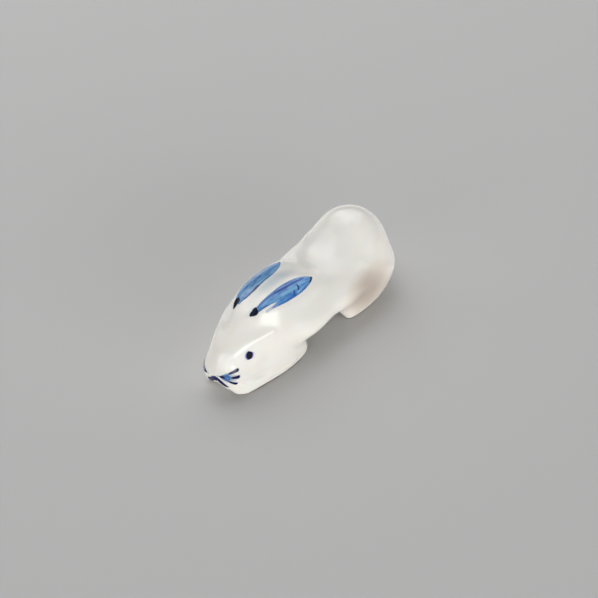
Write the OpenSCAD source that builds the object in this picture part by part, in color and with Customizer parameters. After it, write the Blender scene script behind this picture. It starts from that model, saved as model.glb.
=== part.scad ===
// Chopstick rest in the form of a crouching rabbit, in white glazed porcelain painted with cobalt.
// The sticks lie across its back, in the dip between the laid-back ears and the haunch.
// The body is one skin round egg-shaped masses that melt into each other, like soft clay.
// The nose points to -Y, the rabbit's left is +X, +Z is up, and the feet stand on z = 0.

/* [Body] */
// Length from nose to tail
body_length = 61; // [55:0.5:67]
// Width over the thighs
body_width = 22; // [20:0.25:25]
// Height of the haunch, the highest point
haunch_height = 20.2; // [18:0.2:23]
// Height of the dip that carries the sticks
saddle_height = 14; // [12.5:0.25:16]
// Width of the waist under the dip
waist_width = 20.8; // [17:0.2:22]
// Height of the arch under the belly
belly_gap = 2.5; // [1:0.25:4]
// Radius of the soft fillets where neighbouring masses melt into each other
blend_radius = 1; // [0.7:0.05:1.3]

/* [Head and paws] */
// Height of the crown between the ears
head_height = 17.4; // [15:0.2:19]
// Width of the head at its cheeks
head_width = 14.8; // [12:0.2:17]
// Width over both forelegs
paw_span = 16.8; // [15:0.2:20]

/* [Ears] */
// Length of one ear, laid back over the neck
ear_length = 18.5; // [15:0.5:22]
// Width of one ear
ear_width = 4.4; // [3:0.2:5.5]
// Thickness of one ear, most of which is sunk in the neck
ear_thickness = 2.3; // [1.8:0.1:3]
// Distance between the middles of the ears
ear_spread = 7; // [5.5:0.25:8.5]

/* [Painting] */
// Thickness of the cobalt on the body
paint_thickness = 0.1; // [0.06:0.01:0.2]
// Width of the blue leaf on each ear
leaf_width = 3.4; // [2:0.1:4]
// Width of each eye
eye_width = 1.8; // [1:0.1:2.2]
// Height of each eye
eye_height = 2; // [1.4:0.1:2.8]
// Width of the nose
nose_width = 1.3; // [0.8:0.1:2]
// Width of the brush line of the mouth
mouth_line = 0.6; // [0.4:0.05:0.9]
// Length of the mouth on each side
mouth_length = 4.4; // [3:0.1:5]
// Length of the longest whisker
whisker_length = 4.6; // [3:0.1:5.5]

/* [Hidden] */

// The masses. Each is [centre shares, radius shares, [pitch, yaw, roll]]. Shares across are of half
// the width named, shares along are of the body's length, and shares up are of the height named.
// Pitch lifts the rear end, yaw turns it towards the middle and roll drops the outer edge.

// Muzzle, chin, bridge of the snout, skull and nape, in the head's width and height
head_shares = [
    [[0, -0.418, 0.352], [0.5, 0.07, 0.188], [0, 0, 0]],
    [[0, -0.3935, 0.07], [0.676, 0.034, 0.172], [0, 0, 0]],
    [[0, -0.34, 0.545], [0.46, 0.142, 0.33], [38, 0, 0]],
    [[0, -0.225, 0.36], [1, 0.148, 0.44], [0, 0, 0]],
    [[0, -0.14, 0.675], [0.975, 0.222, 0.36], [-8, 0, 0]],
];
// Whisker pad, brow ridge, cheek, and the shoulder that the ear's tip fades into, on the left side
cheek_shares = [
    [[0.345, -0.436, 0.29], [0.23, 0.038, 0.118], [0, 0, 0]],
    [[0.56, -0.307, 0.625], [0.21, 0.138, 0.12], [0, -15, 20]],
    [[0.48, -0.32, 0.4], [0.32, 0.123, 0.29], [0, -12, 0]],
    [[0.54, 0.014, 0.66], [0.36, 0.107, 0.15], [-20, -6, 10]],
];
// Left foreleg, in the span of the paws and the head's height
foreleg_shares = [[0.605, -0.266, 0.063], [0.285, 0.172, 0.178], [0, -9, 0]];
// Neck and waist: places and radii along, then widths
trunk_along_shares = [[-0.071, 0.207], [0.136, 0.216]];
trunk_width_shares = [0.963, 1.005];
// Haunch and tail, in the body's width and the haunch's height
rear_shares = [
    [[0, 0.313, 0.475], [0.816, 0.148, 0.525], [0, 0, 0]],
    [[0, 0.455, 0.41], [0.29, 0.044, 0.16], [0, 0, 0]],
];
// Left thigh and hind foot
leg_shares = [
    [[0.565, 0.268, 0.292], [0.398, 0.171, 0.322], [0, 0, 0]],
    [[0.66, 0.256, 0.045], [0.145, 0.131, 0.163], [0, 5, 0]],
];
// Place of the ears along the body, how deep their middles lie under the crown, in thicknesses of an
// ear, and their [pitch, yaw, roll]
ear_along_share = -0.145;
ear_sink_share = 0.565;
ear_turn = [-8, -6, 18];

// The skin's mesh: rays round each ring, rings along the back, and rings round each end
rays = 60;
back_rings = 60;
end_rings = 11;
// Where the rays start: [along, up] shares of the body's length and the head's height
spine_shares = [[-0.371, 0.26], [-0.278, 0.4], [-0.091, 0.46], [0.106, 0.49], [0.342, 0.53]];
// Steps a ray takes to close in on the skin
march_steps = 12;
// Share of the measured gap that each step takes
step_share = 0.95;
// How far the cut for the feet runs past the body
overrun = 4;

// Gap that keeps the paint clear of the facets of the skin
paint_lift = 0.1;
// Columns of facets across a brush stroke, and across each whisker
mark_columns = 4;
// How far out a brush starts towards the skin
brush_distance = body_width / 2;

// Strokes by hand: [across, along, half width], in shares of the ear's width and length and of half
// the leaf's width
leaf_shares = [
    [0, -0.5, 0.18], [0.055, -0.39, 0.68], [0.09, -0.25, 0.88], [0.095, -0.075, 1],
    [0.075, 0.1, 1], [0.045, 0.24, 0.84], [0.02, 0.345, 0.5], [0, 0.425, 0.06],
];
root_shares = [
    [-0.09, -0.61, 0.06], [-0.06, -0.573, 0.28], [0, -0.53, 0.36], [0.03, -0.492, 0.2],
];
// Mouth, falling from the nose in a shallow S: [across, up, half width], in shares of its length and
// of half its line
mouth_shares = [
    [0.06, -0.03, 0.5], [0.2, -0.24, 1], [0.315, -0.4, 1],
    [0.4, -0.57, 0.9], [0.49, -0.71, 0.6], [0.57, -0.81, 0.15],
];
// Angles round an eye or the nose at which the brush gives a station of the stroke
spot_angles = [15:25:165];
// Height of the nose, as a share of its width
nose_rise_share = 0.85;
// Places on the left side of the head, in its half width, the body's length and the head's height
eye_place_shares = [0.675, -0.397, 0.583];
nose_place_shares = [0, -0.495, 0.325];
mouth_place_shares = [0.04, -0.495, 0.35];
// The whiskers of the right side start a little lower and further out
whisker_place_shares = [[0.19, -0.493, 0.368], [0.257, -0.49, 0.305]];
// Where the brush comes from for each mark: [azimuth, height], as in brush() below
eye_view = [70, 5];
nose_view = [0, 0];
mouth_view = [15, 0];
whisker_view = [45, 0];
// Three whiskers fan out from one point, joined by thin wash near it. Angle of the lowest and the
// highest edge, how far down the wash fills in between the whiskers, where the fan starts, and how
// blunt the whiskers' tips are, from 1 for pointed towards 0
fan_angles = [-34, 34];
fan_wash_share = 0.55;
fan_start_share = 0.12;
finger_power = 0.7;
whiskers_a_side = 3;
// Steps along the strokes
leaf_steps = 16;
short_steps = 8;

// Where a ray starts from, outside the body, as a share of its width
start_share = 0.72;

// Sizes of a mass row, worked out in millimetres
function scaled(v, size) = [v.x * size.x, v.y * size.y, v.z * size.z];
function sized(row, size) = [scaled(row[0], size), scaled(row[1], size), row[2]];
// A mass and its mirror image on the right side
function pair(m) = [m, [[-m[0].x, m[0].y, m[0].z], m[1], [m[2][0], -m[2][1], -m[2][2]]]];

head_size = [head_width / 2, body_length, head_height];
paw_size = [paw_span / 2, body_length, head_height];
rear_size = [body_width / 2, body_length, haunch_height];
ear_mass = [
    [ear_spread / 2, ear_along_share * body_length, head_height - ear_sink_share * ear_thickness],
    [ear_width / 2, ear_length / 2, ear_thickness / 2],
    ear_turn
];
masses = [
    for (row = head_shares) sized(row, head_size),
    for (i = [0:1]) [
        [0, trunk_along_shares[i][0] * body_length, (saddle_height + belly_gap) / 2],
        [trunk_width_shares[i] * waist_width / 2, trunk_along_shares[i][1] * body_length,
            (saddle_height - belly_gap) / 2],
        [0, 0, 0]
    ],
    for (row = rear_shares) sized(row, rear_size),
    for (row = leg_shares) each pair(sized(row, rear_size)),
    for (row = cheek_shares) each pair(sized(row, head_size)),
    each pair(sized(foreleg_shares, paw_size)),
    each pair(ear_mass)
];

// Turns a direction into the axes of a mass that is pitched, yawed and rolled
function into_mass(turn) =
    let (p = turn[0], y = turn[1], r = turn[2])
    [[cos(r), 0, -sin(r)], [0, 1, 0], [sin(r), 0, cos(r)]]
    * [[1, 0, 0], [0, cos(p), sin(p)], [0, -sin(p), cos(p)]]
    * [[cos(y), sin(y), 0], [-sin(y), cos(y), 0], [0, 0, 1]];
function shrink(v) = [[1 / v.x, 0, 0], [0, 1 / v.y, 0], [0, 0, 1 / v.z]];
ready_masses = [
    for (m = masses)
        let (axes = into_mass(m[2]), once = shrink(m[1]))
        [m[0], once * axes, once * once * axes]
];
all_ones = [for (m = masses) 1];

// Distance from a point to the skin of one mass, and to the skin round all of them
function mass_gap(p, m) =
    let (q = p - m[0], reach = norm(m[1] * q))
    reach * (reach - 1) / norm(m[2] * q);
function skin_gap(p) = 
    -blend_radius * ln(all_ones * [for (m = ready_masses) exp(-mass_gap(p, m) / blend_radius)]);
// The point where a ray that comes from outside meets the skin, or the level that lies above it
function meet(from, way, level = 0, steps = march_steps) =
    steps == 0 ? from : meet(from + way * step_share * (skin_gap(from) - level), way, level, steps - 1);

front_y = spine_shares[0][0] * body_length;
rear_y = spine_shares[len(spine_shares) - 1][0] * body_length;
// Each ring is [place of its centre along the body, lean of its rays towards the nose]
rings = [
    for (i = [1:end_rings]) [front_y, 90 * (1 - i / end_rings)],
    for (i = [1:back_rings - 1]) [front_y + (rear_y - front_y) * i / back_rings, 0],
    for (i = [0:end_rings - 1]) [rear_y, -90 * i / end_rings]
];

function spine_at(y) = [0, y, lookup(y / body_length, spine_shares) * head_height];
function skin_point(ring, turn) =
    let (out = [cos(turn) * cos(ring[1]), -sin(ring[1]), sin(turn) * cos(ring[1])])
    meet(spine_at(ring[0]) + out * body_width * start_share, -out);

// A brush looks at the body from an azimuth round it, where 0 is its nose and 90 its left side,
// and from a height above the table. Its axes are across, up and back towards the painter.
function brush(azimuth, height) = [
    [cos(azimuth), sin(azimuth), 0],
    [-sin(azimuth) * sin(height), cos(azimuth) * sin(height), cos(height)],
    [sin(azimuth) * cos(height), -cos(azimuth) * cos(height), sin(height)]
];
// The same brush for a [azimuth, height] pair
function brush_from(view) = brush(view[0], view[1]);
// On the ears it looks straight down, square to their length
straight_down = 90;
ear_brush = brush(ear_turn[1], straight_down);
// A smooth curve through rows of numbers, where t runs from 0 to 1
function curve(rows, t) =
    let (
        last = len(rows) - 1,
        i = min(floor(t * last), last - 1),
        f = t * last - i,
        a = rows[max(i - 1, 0)],
        b = rows[i],
        c = rows[i + 1],
        d = rows[min(i + 2, last)]
    )
    b + (
        (c - a) * f
        + (2 * a - 5 * b + 4 * c - d) * pow(f, 2)
        + (3 * b - a - 3 * c + d) * pow(f, 3)
    ) / 2;

// Flat shape of a brush stroke, row by row: each station is [across, up, half width]
function stroke(stations, count) = [
    for (i = [0:count])
        let (
            here = curve(stations, i / count),
            before = curve(stations, max(i - 1, 0) / count),
            after = curve(stations, min(i + 1, count) / count),
            run = [after.x - before.x, after.y - before.y],
            side = [-run.y, run.x] / norm(run)
        )
        [for (j = [0:mark_columns]) [here.x, here.y] + side * here.z * (1 - 2 * j / mark_columns)]
];

// A closed film of paint. The grid of [across, up] points is brushed on round the place given, by
// rays that stop just clear of the skin for the underside and one thickness higher for the top.
module film(place, view, grid) {
    rows = len(grid);
    columns = len(grid[0]);
    function laid(level) = [
        for (row = grid, p = row)
            meet(place + p.x * view[0] + p.y * view[1] + brush_distance * view[2], -view[2], level)
    ];
    points = concat(laid(paint_lift + paint_thickness), laid(paint_lift));
    under = rows * columns;
    // The film's border, once round, as indices of its upper side
    border = [
        for (j = [0:columns - 2]) j,
        for (i = [0:rows - 2]) i * columns + columns - 1,
        for (j = [columns - 1:-1:1]) (rows - 1) * columns + j,
        for (i = [rows - 1:-1:1]) i * columns
    ];
    faces = [
        for (i = [0:rows - 2], j = [0:columns - 2])
            let (a = i * columns + j, b = a + 1, c = a + columns, d = c + 1)
            each [
                [a, c, b], [b, c, d],
                [under + a, under + b, under + c], [under + b, under + d, under + c]
            ],
        for (i = [0:len(border) - 1])
            let (a = border[i], b = border[(i + 1) % len(border)])
            each [[a, b, under + a], [b, under + b, under + a]]
    ];
    polyhedron(points, faces);
}

// Closed skin of the whole body, down to the rounded undersides of its feet
module skin() {
    ray_step = 360 / rays;
    points = [
        skin_point([front_y, 90], 0),
        for (ring = rings, j = [0:rays - 1]) skin_point(ring, j * ray_step),
        skin_point([rear_y, -90], 0)
    ];
    last = len(rings) - 1;
    tail = len(points) - 1;
    faces = [
        for (j = [0:rays - 1]) [0, 1 + (j + 1) % rays, 1 + j],
        for (i = [0:last - 1], j = [0:rays - 1])
            let (a = 1 + i * rays + j, b = 1 + i * rays + (j + 1) % rays)
            each [[a, b, a + rays], [b, b + rays, a + rays]],
        for (j = [0:rays - 1]) [tail, 1 + last * rays + j, 1 + last * rays + (j + 1) % rays]
    ];
    polyhedron(points, faces);
}

// The fired piece, with its feet ground flat
module body() {
    color("ivory")
        difference() {
            skin();
            translate([-body_width, -body_length, -overrun])
                cube([2 * body_width, 2 * body_length, overrun]);
        }
}

// Spot of the brush, as stations of a stroke
function spot(width, height) = [
    for (t = spot_angles) [0, -cos(t) * height / 2, sin(t) * width / 2]
];
function placed(shares) = scaled(shares, head_size);

// Blue leaf along the left ear
module ear_leaf() {
    stations = [for (s = leaf_shares) [s[0] * ear_width, s[1] * ear_length, s[2] * leaf_width / 2]];
    color("cornflowerblue")
        film(ear_mass[0], ear_brush, stroke(stations, leaf_steps));
}

// Dark dab at the root of the left ear
module ear_root() {
    stations = [for (s = root_shares) [s[0] * ear_width, s[1] * ear_length, s[2] * leaf_width / 2]];
    color("midnightblue")
        film(ear_mass[0], ear_brush, stroke(stations, short_steps));
}

module eye() {
    eye_spot = spot(eye_width, eye_height);
    color("midnightblue")
        film(placed(eye_place_shares), brush_from(eye_view), stroke(eye_spot, short_steps));
}

module nose() {
    nose_spot = spot(nose_width, nose_width * nose_rise_share);
    color("midnightblue")
        film(placed(nose_place_shares), brush_from(nose_view), stroke(nose_spot, short_steps));
}

// Left half of the mouth
module mouth() {
    stations = [for (s = mouth_shares) [s[0] * mouth_length, s[1] * mouth_length, s[2] * mouth_line / 2]];
    color("midnightblue")
        film(placed(mouth_place_shares), brush_from(mouth_view), stroke(stations, short_steps));
}

// Whiskers of the left side, which start at the place given
module whiskers(place) {
    columns = whiskers_a_side * 2 * mark_columns;
    // A whisker and a gap take one wave of the fan's edge
    wave = 360 * whiskers_a_side / columns;
    grid = [
        for (i = [0:short_steps])
            [for (j = [0:columns])
                let (
                    turn = fan_angles[1] + (fan_angles[0] - fan_angles[1]) * j / columns,
                    finger = pow((1 - cos(wave * j)) / 2, finger_power),
                    reach = whisker_length * (fan_wash_share + (1 - fan_wash_share) * finger),
                    out = fan_start_share + (1 - fan_start_share) * i / short_steps
                )
                [cos(turn), sin(turn)] * reach * out]
    ];
    color("royalblue")
        film(placed(place), brush_from(whisker_view), grid);
}

body();
ear_leaf();  // ear_leaf_left
mirror([1, 0, 0]) ear_leaf();  // ear_leaf_right
ear_root();  // ear_root_left
mirror([1, 0, 0]) ear_root();  // ear_root_right
eye();  // eye_left
mirror([1, 0, 0]) eye();  // eye_right
nose();
mouth();  // mouth_left
mirror([1, 0, 0]) mouth();  // mouth_right
whiskers(whisker_place_shares[0]);  // whiskers_left
mirror([1, 0, 0]) whiskers(whisker_place_shares[1]);  // whiskers_right
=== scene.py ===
"""Looks of a chopstick rest in the form of a crouching rabbit.

White porcelain under a clear glaze, with its ears and face brushed on in cobalt. Classes state
sizes in millimetres, and meshes are in metres. The nose points to -Y and the feet stand on z = 0.
"""

import logging
import math
from abc import ABC, abstractmethod
from dataclasses import dataclass, field, replace
from enum import Enum
from functools import cached_property
from typing import Any

import bmesh
import bpy
import numpy as np
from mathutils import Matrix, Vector, noise
from mathutils.bvhtree import BVHTree


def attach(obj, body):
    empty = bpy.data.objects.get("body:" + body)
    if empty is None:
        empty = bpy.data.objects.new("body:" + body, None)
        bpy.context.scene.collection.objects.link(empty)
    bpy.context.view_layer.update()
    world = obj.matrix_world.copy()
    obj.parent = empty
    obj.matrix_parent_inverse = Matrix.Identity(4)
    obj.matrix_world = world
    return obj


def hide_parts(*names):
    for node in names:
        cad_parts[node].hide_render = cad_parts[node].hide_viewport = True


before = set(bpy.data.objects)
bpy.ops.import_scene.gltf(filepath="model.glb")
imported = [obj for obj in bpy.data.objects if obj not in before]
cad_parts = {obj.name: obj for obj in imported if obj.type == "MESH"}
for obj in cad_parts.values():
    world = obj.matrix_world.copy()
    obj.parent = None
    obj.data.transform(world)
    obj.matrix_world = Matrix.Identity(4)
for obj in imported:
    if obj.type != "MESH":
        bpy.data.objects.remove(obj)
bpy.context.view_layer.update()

MM = 0.001
ORIGIN = (0.0, 0.0, 0.0)
log = logging.getLogger("rabbit_rest")

Colour = tuple[int, int, int]
Point2 = tuple[float, float]
Point3 = tuple[float, float, float]
Rows = tuple[tuple[float, float, float], ...]
Socket = bpy.types.NodeSocket


def linear(colour: Colour) -> tuple[float, ...]:
    """Turns a colour as seen on a screen, 0 to 255, into the linear colour of a socket."""
    steps = (value / 255 for value in colour)
    return (*(s / 12.92 if s <= 0.04045 else ((s + 0.055) / 1.055) ** 2.4 for s in steps), 1.0)


class Side(Enum):
    """The side of the rabbit that a mark is painted on."""

    LEFT = 1
    RIGHT = -1

    def node(self, stem: str) -> str:
        """Name of the CAD node of this side."""
        return f"{stem}_{self.name.lower()}"

    def flip(self, point: Vector) -> Vector:
        """A point or direction of the left side, brought to this side."""
        return Vector((point.x * self.value, point.y, point.z))


@dataclass(frozen=True)
class Bearing:
    """A direction in degrees: round the body from its nose, and up from the table."""

    azimuth: float
    height: float

    def axes(self) -> tuple[Vector, Vector, Vector]:
        """Works out how things lie that are seen from this direction.

        Returns:
            The axes across, up and back towards the one who looks.
        """
        turn, rise = math.radians(self.azimuth), math.radians(self.height)
        across = Vector((math.cos(turn), math.sin(turn), 0))
        back = Vector((math.sin(turn) * math.cos(rise), -math.cos(turn) * math.cos(rise), math.sin(rise)))
        return across, back.cross(across), back

    def aim(self, piece: bpy.types.Object, target: Vector, distance: float) -> None:
        """Sets a lamp or camera in this direction, so that it looks at a point.

        Args:
            piece: The lamp or camera.
            target: The point.
            distance: How far from it, in metres.
        """
        back = self.axes()[2]
        piece.location = target + back * distance
        piece.rotation_euler = (-back).to_track_quat("-Z", "Y").to_euler()


def enter(name: str, data: bpy.types.ID) -> bpy.types.Object:
    """Puts a new object in the scene.

    Args:
        name: What it is called.
        data: Its mesh, light or camera.

    Returns:
        The object.
    """
    made = bpy.data.objects.new(name, data)
    bpy.context.collection.objects.link(made)
    return made


def off_line(point: Vector, start: Vector, end: Vector) -> Vector:
    """Measures how a point lies off a straight line.

    Args:
        point: The point.
        start: Where the line starts.
        end: Where it ends, which may be its start.

    Returns:
        The way to the point from the nearest point of the line.
    """
    run, offset = end - start, point - start
    share = min(max(offset.dot(run) / max(run.dot(run), 1e-12), 0.0), 1.0)
    return offset - run * share


class Board:
    """One node tree, with short calls that place nodes and join them."""

    def __init__(self, tree: bpy.types.NodeTree) -> None:
        """Starts on a tree, which may hold nodes already."""
        self.tree = tree

    def feed(self, socket: Socket, value: Any) -> None:
        """Joins a socket to another one, or sets what it holds.

        Args:
            socket: The input.
            value: The other socket, or a number, vector or colour.
        """
        if isinstance(value, bpy.types.NodeSocket):
            self.tree.links.new(value, socket)
        else:
            socket.default_value = value

    def put(self, kind: str, feeds: dict[Any, Any] | None = None, **settings: Any) -> bpy.types.Node:
        """Places a node.

        Args:
            kind: The node's type, without the word ShaderNode.
            feeds: What goes into its inputs, by name or number.
            settings: Its own settings.

        Returns:
            The node.
        """
        made = self.tree.nodes.new("ShaderNode" + kind)
        for name, value in settings.items():
            setattr(made, name, value)
        for name, value in (feeds or {}).items():
            self.feed(made.inputs[name], value)
        return made

    def maths(self, operation: str, *values: Any, clamp: bool = False) -> Socket:
        """A sum on one to three numbers."""
        made = self.put("Math", dict(enumerate(values)), operation=operation, use_clamp=clamp)
        return made.outputs[0]

    def vector(self, operation: str, *values: Any) -> Socket:
        """A sum on vectors, whose result is a number for a length or a dot product."""
        made = self.put("VectorMath", dict(enumerate(values)), operation=operation)
        return made.outputs["Value" if operation in ("LENGTH", "DOT_PRODUCT") else "Vector"]

    def fade(self, value: Any, low: Any, high: Any, first: float = 0.0, last: float = 1.0) -> Socket:
        """A smooth change from first to last while the value goes from low to high."""
        feeds = {"Value": value, "From Min": low, "From Max": high, "To Min": first, "To Max": last}
        return self.put("MapRange", feeds, interpolation_type="SMOOTHSTEP").outputs["Result"]

    def tint(self, factor: Any, under: Any, over: Any) -> Socket:
        """Lays one colour over another.

        Args:
            factor: How much of the second colour shows.
            under: The first colour, a socket or as seen on a screen.
            over: The second colour, in the same way.

        Returns:
            The mixed colour.
        """
        under, over = (linear(c) if isinstance(c, tuple) else c for c in (under, over))
        return self.put("Mix", {0: factor, 6: under, 7: over}, data_type="RGBA").outputs[2]

    def noise(self, vector: Any, scale: Any, detail: float = 2.0) -> Socket:
        """Soft noise of 0 to 1."""
        feeds = {"Vector": vector, "Scale": scale, "Detail": detail}
        return self.put("TexNoise", feeds).outputs["Fac"]

    def group(self, tree: bpy.types.NodeTree, **feeds: Any) -> bpy.types.Node:
        """Places one of the shared effects.

        Args:
            tree: The effect.
            feeds: What goes into its inputs, with the spaces of a name as underscores.

        Returns:
            The group node.
        """
        made = self.put("Group", node_tree=tree)
        for name, value in feeds.items():
            self.feed(made.inputs[name.replace("_", " ")], value)
        return made


class Effect(Board):
    """A node group in the making."""

    def __init__(self, name: str, inputs: dict[str, Any], outputs: tuple[str, ...]) -> None:
        """Starts the group.

        Args:
            name: What the effect is called.
            inputs: Each input's value at the start, a number or a vector.
            outputs: Its outputs, which are all numbers.
        """
        super().__init__(bpy.data.node_groups.new(name, "ShaderNodeTree"))
        sockets = self.tree.interface
        for title, value in inputs.items():
            kind = "NodeSocketVector" if isinstance(value, tuple) else "NodeSocketFloat"
            sockets.new_socket(title, in_out="INPUT", socket_type=kind).default_value = value
        for title in outputs:
            sockets.new_socket(title, in_out="OUTPUT", socket_type="NodeSocketFloat")
        self.given = self.tree.nodes.new("NodeGroupInput").outputs
        self.results = self.tree.nodes.new("NodeGroupOutput").inputs

    def close(self, **results: Socket) -> bpy.types.NodeTree:
        """Ends the group.

        Args:
            results: What each output gives.

        Returns:
            The group.
        """
        for name, socket in results.items():
            self.feed(self.results[name], socket)
        return self.tree


class Effects:
    """The shared effects, each a node group that is built once."""

    WAVES = 170.0
    PEEL = 1100.0
    CLOUDS = 75.0
    SPECK_CELLS = 260.0
    SPECK_SIZES = (0.03, 0.075)
    SPECK_RARITY = 0.93
    REGION_CORE = 0.1
    POOLS = 0.75
    RAGGED = 5.0

    def __init__(self) -> None:
        """Builds every effect."""
        self.glaze = self._glaze()
        self.region = self._region()
        self.line = self._line()
        self.hairs = self._hairs()

    def _glaze(self) -> bpy.types.NodeTree:
        """Builds slow waves and fine orange peel of a fired glaze, its clouds and rare iron specks.

        Returns:
            The group.
        """
        inputs = {"Vector": ORIGIN, "Peel": 0.3, "Specks": 0.5}
        effect = Effect("glaze surface", inputs, ("Height", "Cloud", "Speck"))
        place = effect.given["Vector"]
        cells = effect.put("TexVoronoi", {"Vector": place, "Scale": self.SPECK_CELLS, "Randomness": 1.0})
        near = effect.fade(cells.outputs["Distance"], *self.SPECK_SIZES, 1.0, 0.0)
        tone = effect.put("SeparateColor", {"Color": cells.outputs["Color"]}).outputs["Red"]
        rare = effect.maths("GREATER_THAN", tone, self.SPECK_RARITY)
        speck = effect.maths("MULTIPLY", effect.maths("MULTIPLY", near, rare), effect.given["Specks"])
        waves, peel = effect.noise(place, self.WAVES, 1.0), effect.noise(place, self.PEEL)
        height = effect.maths("MULTIPLY_ADD", peel, effect.given["Peel"], waves)
        return effect.close(Height=height, Cloud=effect.noise(place, self.CLOUDS, 3.0), Speck=speck)

    def _region(self) -> bpy.types.NodeTree:
        """Builds the soft mask of an egg-shaped region, 1 in its middle.

        Returns:
            The group.
        """
        inputs = {"Vector": ORIGIN, "Centre": ORIGIN, "Reach": (1.0, 1.0, 1.0)}
        effect = Effect("soft region", inputs, ("Mask",))
        offset = effect.vector("SUBTRACT", effect.given["Vector"], effect.given["Centre"])
        share = effect.vector("LENGTH", effect.vector("DIVIDE", offset, effect.given["Reach"]))
        return effect.close(Mask=effect.fade(share, self.REGION_CORE, 1.0, 1.0, 0.0))

    def _line(self) -> bpy.types.NodeTree:
        """Builds the mask of one pass of a brush, with its half width stated at each end.

        Returns:
            The group.
        """
        vectors = {"Vector": ORIGIN, "Start": ORIGIN, "End": (1.0, 0.0, 0.0)}
        numbers = {"Start width": 0.1, "End width": 0.1, "Softness": 0.1}
        effect = Effect("brush line", vectors | numbers, ("Mask",))
        given = effect.given
        offset = effect.vector("SUBTRACT", given["Vector"], given["Start"])
        run = effect.vector("SUBTRACT", given["End"], given["Start"])
        length = effect.vector("DOT_PRODUCT", run, run)
        along = effect.maths("DIVIDE", effect.vector("DOT_PRODUCT", offset, run), length, clamp=True)
        nearest = effect.put("VectorMath", {0: run, "Scale": along}, operation="SCALE").outputs["Vector"]
        gap = effect.vector("LENGTH", effect.vector("SUBTRACT", offset, nearest))
        change = effect.maths("SUBTRACT", given["End width"], given["Start width"])
        width = effect.maths("MULTIPLY_ADD", change, along, given["Start width"])
        edges = (effect.maths(sign, width, given["Softness"]) for sign in ("SUBTRACT", "ADD"))
        return effect.close(Mask=effect.fade(gap, *edges, 1.0, 0.0))

    def _hairs(self) -> bpy.types.NodeTree:
        """Builds the streaks that the hairs of a brush leave along Y, and its ragged rim.

        Returns:
            The group.
        """
        inputs = {"Vector": ORIGIN, "Hairs": 2.6, "Run": 0.22}
        effect = Effect("brush hairs", inputs, ("Streak", "Pool", "Ragged"))
        plane, hairs, run = (effect.given[name] for name in inputs)
        stretch = effect.put("CombineXYZ", {"X": hairs, "Y": run, "Z": 1.0}).outputs[0]
        return effect.close(
            Streak=effect.noise(effect.vector("MULTIPLY", plane, stretch), 1.0, 3.0),
            Pool=effect.noise(plane, self.POOLS),
            Ragged=effect.noise(plane, self.RAGGED),
        )


class Coat(Board):
    """A material in the making."""

    IOR = 1.5
    PEEL = 0.12
    RELIEF = 0.12
    RELIEF_DEPTH = 0.25

    def __init__(self, name: str, effects: Effects) -> None:
        """Starts the material.

        Args:
            name: What the material is called.
            effects: The shared effects.
        """
        self.material = bpy.data.materials.new(name)
        self.material.use_nodes = True
        self.effects = effects
        super().__init__(self.material.node_tree)

    @cached_property
    def place(self) -> Socket:
        """The Object coordinates."""
        return self.put("TexCoord").outputs["Object"]

    def glaze(self, specks: float = 0.0) -> Any:
        """Outputs of the glaze, by name."""
        return self.group(self.effects.glaze, Vector=self.place, Peel=self.PEEL, Specks=specks).outputs

    def relief(self, height: Socket) -> Socket:
        """Turns the height of the glaze into a normal."""
        feeds = {"Height": height, "Strength": self.RELIEF, "Distance": self.RELIEF_DEPTH * MM}
        return self.put("Bump", feeds).outputs["Normal"]

    def shade(self, feeds: dict[str, Any]) -> None:
        """Sets or joins inputs of the shader, by name."""
        for name, value in feeds.items():
            self.feed(self.tree.nodes["Principled BSDF"].inputs[name], value)


class Finish(ABC):
    """What a piece is coated with."""

    @abstractmethod
    def dress(self, coat: Coat) -> None:
        """Feeds the shader of the material."""

    def build(self, name: str, effects: Effects) -> bpy.types.Material:
        """Makes the material.

        Args:
            name: What the material is called.
            effects: The shared effects.

        Returns:
            The material.
        """
        coat = Coat(name, effects)
        self.dress(coat)
        return coat.material


@dataclass(frozen=True)
class PaperFinish(Finish):
    """Paper of the table, which throws back more light than the camera sees on it."""

    seen: Colour = (204, 204, 204)
    bounce: Colour = (248, 246, 243)
    roughness: float = 0.9
    gloss: float = 0.2

    def dress(self, coat: Coat) -> None:
        """Feeds the shader.

        Args:
            coat: The material.
        """
        direct = coat.put("LightPath").outputs["Is Camera Ray"]
        colour = coat.tint(direct, self.bounce, self.seen)
        coat.shade({"Base Color": colour, "Roughness": self.roughness, "Specular IOR Level": self.gloss})


@dataclass(frozen=True)
class Patch:
    """A soft patch of another colour over the porcelain white, and how strong its mirror image is. Some
    patches are painted shade.
    """

    centre: Point3
    reach: Point3
    strength: float
    mirrored: float = 0.0

    def mask(self, coat: Coat, side: Side) -> Socket:
        """Masks the patch on one side.

        Args:
            coat: The material.
            side: The side that the patch lies on.

        Returns:
            The mask, by the patch's strength on that side.
        """
        centre, reach = side.flip(Vector(self.centre)) * MM, Vector(self.reach) * MM
        made = coat.group(coat.effects.region, Vector=coat.place, Centre=centre, Reach=reach)
        strength = self.strength if side is Side.LEFT else self.mirrored
        return coat.maths("MULTIPLY", made.outputs["Mask"], strength)


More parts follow.
